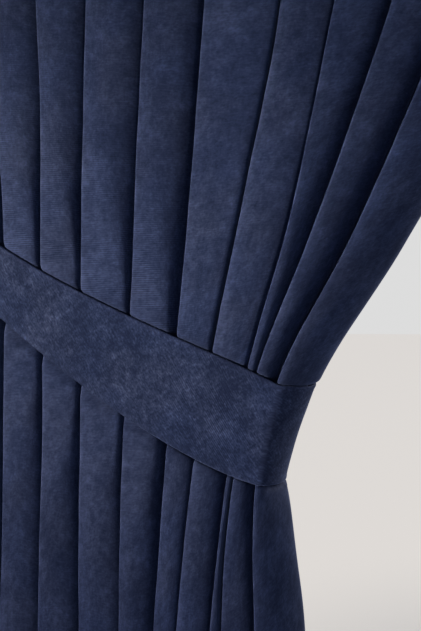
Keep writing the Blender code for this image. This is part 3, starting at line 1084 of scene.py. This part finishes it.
# %% Draw the nap
NOISE_MIDDLE = 0.5
RIB_PITCH = 0.0024
RIB_WEIGHT = 0.48
RIB_BUMP = 0.5
RIB_BEND = {"Distortion": 1.2, "Detail": 1.0, "Detail Scale": 0.25, "Detail Roughness": 0.5}
RIB_PATCH = (0.050, 0.030)
RIB_SHOWS = (0.41, 0.59, 0.18, 1.0)
WAVE_TURNS = 20
CLOUD_SIZES = (
    # across, down, detail, roughness, weight
    (0.100, 0.160, 2.0, 0.50, 0.75),
    (0.024, 0.040, 2.0, 0.60, 1.10),
    (0.0095, 0.0105, 2.0, 0.70, 1.15),
)
NAP_SCALE = 0.52
NAP_START = 0.42
NAP_POWER = 2.5
GRAIN_SIZES = (
    # across, down, detail, roughness, weight
    (0.0040, 0.0120, 1.0, 0.50, 0.40),
    (0.0065, 0.0022, 1.0, 0.60, 0.60),
    (0.0024, 0.0024, 1.0, 0.60, 0.70),
)


def noise_layer(tree, vector, across, down, detail=2.0, roughness=0.5):
    """Smooth noise whose spots are so wide and so long, in metres of cloth."""
    inputs = {"Vector": vector, "Scale": (1 / across, 1 / down, 1.0)}
    scaled = add_node(tree, "ShaderNodeMapping", inputs).outputs["Vector"]
    inputs = {"Vector": scaled, "Scale": 1.0, "Detail": detail, "Roughness": roughness}
    return add_node(tree, "ShaderNodeTexNoise", inputs).outputs["Fac"]


def rib_layer(tree, vector):
    """Fine ribs along the weft, that come and go. In Blender a wave texture repeats
    every 2 pi / WAVE_TURNS at a scale of 1."""
    inputs = {"Vector": vector, "Scale": 2 * math.pi / (WAVE_TURNS * RIB_PITCH), **RIB_BEND}
    node = add_node(tree, "ShaderNodeTexWave", inputs, bands_direction="Y")
    shows = stretch(tree, noise_layer(tree, vector, *RIB_PATCH), *RIB_SHOWS)
    centred = combine(tree, "SUBTRACT", node.outputs["Fac"], NOISE_MIDDLE)
    taut = read_mark(tree, "taut")
    return combine(tree, "MULTIPLY", combine(tree, "MULTIPLY", centred, shows), taut)


def nap_layers(tree, vector, grain, patches):
    """How far the pile lies flat, about 0 to 1, and how high the cloth's surface is."""
    ribs = rib_layer(tree, vector)
    nap = combine(tree, "MULTIPLY_ADD", ribs, RIB_WEIGHT * grain, NOISE_MIDDLE)
    for sizes, strength in ((CLOUD_SIZES, patches), (GRAIN_SIZES, grain)):
        for across, down, detail, roughness, weight in sizes:
            layer = noise_layer(tree, vector, across, down, detail, roughness)
            layer = combine(tree, "SUBTRACT", layer, NOISE_MIDDLE)
            nap = combine(tree, "MULTIPLY_ADD", layer, weight * strength, nap)
    height = combine(tree, "MULTIPLY_ADD", ribs, RIB_BUMP, layer)
    lifted = combine(tree, "MULTIPLY_ADD", nap, NAP_SCALE, NAP_START)
    return combine(tree, "POWER", lifted, NAP_POWER), height


print("ribs every", 1000 * RIB_PITCH, "mm")

# %% [markdown]
# ## Mixing the finish
#
# The nap is now one number, and that number picks a colour between pile seen deep
# and pile lying flat. Flat pile is not one colour either: a slow noise tinges it
# from cool to warm. The same number makes the flat pile a little smoother. The ribs
# and the grain also go to a bump, very low, because they are only tenths of a
# millimetre high. Sheen and specular stay the same all over, so they are set later
# on the shader itself.

# %% Mix the velvet's colour
PILE_DEEP = (0.0044, 0.0080, 0.0262, 1)
PILE_FLAT = (0.0322, 0.0470, 0.1105, 1)
PILE_FLAT_WARM = (0.0392, 0.0513, 0.1060, 1)
# lighter pile on the noses and crisp edges: brushed pile and a painted highlight, and how
# strongly it shows
PILE_RUBBED_HIGHLIGHT = (0.0400, 0.0530, 0.1150, 1)
RUBBED_HIGHLIGHT_SHARE = 0.5
TINGE_PATCH = (0.075, 0.095)
TINGE_RANGE = (0.36, 0.64, 0.0, 1.0)
COLOUR_INPUTS = (6, 7)
COLOUR_OUTPUT = 2


def mix_colour(tree, factor, *colours):
    """A blend of two colours. A Mix node has sockets for numbers and for colours under
    one name, so the colour ones are picked by their place."""
    inputs = {"Factor": factor, **dict(zip(COLOUR_INPUTS, colours))}
    return add_node(tree, "ShaderNodeMix", inputs, data_type="RGBA").outputs[COLOUR_OUTPUT]


def pile_colour(tree, vector, nap):
    """The colour of the pile, from seen deep to lying flat. It is lighter along the nose
    and edge mark, for brushed pile and a painted highlight.
    """
    tinge = stretch(tree, noise_layer(tree, vector, *TINGE_PATCH), *TINGE_RANGE)
    flat = mix_colour(tree, tinge, PILE_FLAT, PILE_FLAT_WARM)
    tint = mix_colour(tree, nap, PILE_DEEP, flat)
    # lighten where the nose and edge mark is high: brushed pile and a painted highlight
    rubbed_highlight = combine(tree, "MULTIPLY", read_mark(tree, "rubbed_and_highlit"), nap)
    rubbed_highlight = combine(tree, "MULTIPLY", rubbed_highlight, RUBBED_HIGHLIGHT_SHARE)
    return mix_colour(tree, rubbed_highlight, tint, PILE_RUBBED_HIGHLIGHT)


print("pile lying flat, in linear colour:", PILE_FLAT[:3])

# %% [markdown]
# ## The whole finish
#
# One function makes the material. It reads the thread places, turns them if the cloth
# was cut on the slant, draws the nap, and feeds the shader's colour, roughness and
# bump. What differs from one cut to another is given to the function as a number.

# %% Make the velvet
ROUGH_RANGE = (0.0, 0.8, 0.98, 0.80)
BUMP = {"Strength": 0.35, "Distance": 0.0004}
PILE_SHINE = {
    "Sheen Weight": 0.35,
    "Sheen Roughness": 0.4,
    "Sheen Tint": (0.33, 0.41, 0.75, 1),
    "Specular IOR Level": 0.2,
}


def velvet(name, turn, grain, patches, light):
    """A velvet finish. turn is the angle at which the cloth was cut, in radians, grain is
    how strongly the ribs and the grain of the pile show, patches is how strongly the
    clouds show, and light is how light the pile looks where it lies flat."""
    material = bpy.data.materials.new(name)
    material.use_nodes = True
    material.diffuse_color = PILE_FLAT
    tree = material.node_tree
    threads_map = add_node(tree, "ShaderNodeUVMap", uv_map="cloth").outputs["UV"]
    inputs = {"Vector": threads_map, "Rotation": (0.0, 0.0, turn)}
    vector = add_node(tree, "ShaderNodeMapping", inputs).outputs["Vector"]
    nap, height = nap_layers(tree, vector, grain, patches)
    nap = combine(tree, "MULTIPLY", nap, light)
    colour = pile_colour(tree, vector, nap)
    roughness = stretch(tree, nap, *ROUGH_RANGE)
    normal = add_node(tree, "ShaderNodeBump", {"Height": height, **BUMP}).outputs["Normal"]
    set_inputs(tree.nodes["Principled BSDF"],
               {"Base Color": colour, "Roughness": roughness, "Normal": normal, **PILE_SHINE})
    return material


print("set on the shader:", sorted(PILE_SHINE))

# %% [markdown]
# ## Two cuts of one velvet
#
# The drape and the band are one fabric, but the band was cut on the slant, so its
# ribs run at an angle. It is also handled more: its pile is brushed both ways, so it
# is patchier and coarser than the drape's. Its flat pile is also set a little darker
# all over.

# %% Give each piece its velvet
BAND_SLANT = -0.70
BAND_GRAIN = 2.3
BAND_PATCHES = 1.5
BAND_LIGHT = 0.64

straight_cut = velvet("navy_velvet", turn=0.0, grain=1.0, patches=1.0, light=1.0)
slanted_cut = velvet("navy_velvet_on_the_slant", turn=BAND_SLANT, grain=BAND_GRAIN,
                     patches=BAND_PATCHES, light=BAND_LIGHT)
drape.data.materials.append(straight_cut)
tieback.data.materials.append(slanted_cut)
print("materials:", straight_cut.name, "and", slanted_cut.name)

# %% [markdown]
# ## Put the pieces on the frame
#
# Both pieces stand for a plain solid of the frame, and ride on it. Each is a sheet of
# cloth, and the drape is more than twice as wide as the place that it fills, which is
# what makes its folds.

for piece, node, slot in ((drape, "drape", "drape_velvet"),
                          (tieback, "tieback", "tieback_velvet")):
    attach(piece, "root")
    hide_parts(node)

# %% [markdown]
# ## Camera
#
# We look from a little to the right of straight ahead, level with the tieback. The
# render is 631 pixels tall, and the lens is given in the same pixels. Blender wants it
# in millimetres of its own 36 mm sensor, which lies along the long side. A small
# helper aims the camera, and will aim the lamps too.

# %% Set the camera
CAMERA_AZIMUTH = 12.0
CAMERA_DISTANCE = 0.85
CAMERA_TARGET = Vector((-0.1066, -0.04, -1.384))
CAMERA_NEAREST = 0.05
LENS_PIXELS = 772.7
RENDER_PIXELS = 631
SENSOR = 36


def aim(thing, target):
    """Turn a camera or a lamp to look at a target."""
    way = Vector(target) - thing.location
    thing.rotation_euler = way.to_track_quat("-Z", "Y").to_euler()


angle = math.radians(CAMERA_AZIMUTH)
towards_camera = Vector((math.sin(angle), -math.cos(angle), 0.0))
camera = put_in_scene("camera", bpy.data.cameras.new("camera"))
camera.data.lens = LENS_PIXELS / RENDER_PIXELS * SENSOR
camera.data.clip_start = CAMERA_NEAREST
camera.location = CAMERA_TARGET + CAMERA_DISTANCE * towards_camera
aim(camera, CAMERA_TARGET)
bpy.context.scene.camera = camera
print("camera at", [round(x, 3) for x in camera.location])

# %% [markdown]
# ## A pale room
#
# The world gives an even pale fill from all sides. The camera sees it brighter than
# it lights the cloth, so the room looks pale while the folds keep their depth.

# %% Fill the room with pale light
WORLD_FILL = {"Color": (0.60, 0.75, 0.98, 1), "Strength": 0.30}
WORLD_SEEN = {"Color": (1.0, 1.0, 1.0, 1), "Strength": 0.72}

world = bpy.data.worlds.new("pale_room")
bpy.context.scene.world = world
world.use_nodes = True
fill = world.node_tree.nodes["Background"]
set_inputs(fill, WORLD_FILL)
seen = add_node(world.node_tree, "ShaderNodeBackground", WORLD_SEEN)
path = add_node(world.node_tree, "ShaderNodeLightPath")
by_sight = {0: path.outputs["Is Camera Ray"], 1: fill.outputs["Background"],
            2: seen.outputs["Background"]}
mix = add_node(world.node_tree, "ShaderNodeMixShader", by_sight)
set_inputs(world.node_tree.nodes["World Output"], {"Surface": mix.outputs["Shader"]})
bpy.context.scene.view_settings.view_transform = "Standard"
print("world strength", WORLD_FILL["Strength"], "for the cloth")

# %% [markdown]
# ## The floor
#
# The floor is a wide plane with a sun of its own, so it can be pale without washing
# out the shadows in the folds. Light linking does that: it gives a lamp a list of
# what it may light. The floor also sends no light back up onto the cloth.

# %% Lay the floor
HEM_CLEARS = 0.012
FLOOR_LEVEL = -DROP - HEM_CLEARS
FLOOR_SIZE = 90
FLOOR_PAINT = {"Base Color": (0.80, 0.79, 0.77, 1), "Roughness": 0.9}
STAGE_SUN = 2.89
SUN_COLOUR = (1.0, 0.90, 0.79)
SUN_WIDTH = 30
SUN_TURN = (35, 0, -20)


def may_light(name, pieces):
    """A list of pieces for light linking."""
    listed = bpy.data.collections.new(name)
    for piece in pieces:
        listed.objects.link(piece)
    return listed


bpy.ops.mesh.primitive_plane_add(size=FLOOR_SIZE, location=(0, 0, FLOOR_LEVEL))
floor = bpy.context.object
floor.name = "floor"
floor.visible_diffuse = False
paint = bpy.data.materials.new("pale_floor")
paint.use_nodes = True
set_inputs(paint.node_tree.nodes["Principled BSDF"], FLOOR_PAINT)
floor.data.materials.append(paint)
sun = put_in_scene("floor_sun", bpy.data.lights.new("floor_sun", "SUN"))
sun.data.energy = STAGE_SUN
sun.data.angle = math.radians(SUN_WIDTH)
sun.data.color = SUN_COLOUR
sun.rotation_euler = [math.radians(turn) for turn in SUN_TURN]
sun.light_linking.receiver_collection = may_light("floor_only", (floor,))
print("floor at", FLOOR_LEVEL)

# %% [markdown]
# ## Light from the side
#
# Side light is what shows velvet. Four soft lamps stand in a row down the left, so
# each fold has a bright nose, a face that darkens slowly, and a deep shadow before
# the next nose. Each of the four has a narrow spread, so it lights its own length of
# the drape and fades out beyond it, as light from a tall window would. Wide, weak
# lamps at the left, at the right and behind keep the rest readable. They all light
# only the cloth.

# %% Light the cloth
LAMPS = (
    # name, place, target, size, power, spread, colour
    ("upper_key", (-2.6, -1.7, -0.95), (-0.24, 0.0, -1.31), 0.60, 2.12, 14, (0.98, 0.94, 0.85)),
    ("lower_key", (-2.6, -2.1, -1.5), (-0.05, 0.0, -1.60), 0.75, 0.97, 20, (0.93, 0.88, 0.98)),
    ("top_key", (-2.4, -2.0, -0.3), (0.0, 0.0, -0.26), 0.75, 2.0, 18, (0.98, 0.94, 0.90)),
    ("hem_key", (-2.4, -2.1, -2.0), (-0.2, 0.0, -2.25), 0.75, 1.5, 17, (0.95, 0.90, 0.93)),
    ("wide_key", (-2.1, -1.75, -0.9), (-0.2, 0.0, -1.30), 1.0, 1.3, 180, (0.90, 0.95, 1.0)),
    ("right_fill", (2.6, -2.4, 0.2), (0.0, 0.0, -1.2), 2.0, 7, 180, (0.90, 0.85, 1.0)),
    ("edge_fill", (3.0, 0.8, -0.9), (0.0, 0.0, -1.2), 1.5, 12, 180, (0.95, 0.92, 1.0)),
    ("back_key", (1.9, 2.3, -0.3), (0.0, 0.0, -1.2), 1.5, 70, 180, (1.0, 0.93, 0.85)),
    ("back_fill", (-1.6, 2.6, 0.0), (0.0, 0.0, -1.2), 2.0, 30, 180, (0.90, 0.95, 1.0)),
)


def soft_lamp(name, place, target, size, power, spread, colour):
    """A square lamp that points at its target. A narrow spread keeps its light near it."""
    lamp = bpy.data.lights.new(name, "AREA")
    lamp.size = size
    lamp.energy = power
    lamp.spread = math.radians(spread)
    lamp.color = colour
    stand = put_in_scene(name, lamp)
    stand.location = place
    stand.light_linking.receiver_collection = cloth_only
    aim(stand, target)


cloth_only = may_light("cloth_only", (drape, tieback))
for lamp in LAMPS:
    soft_lamp(*lamp)
print("lamps:", [lamp[0] for lamp in LAMPS])
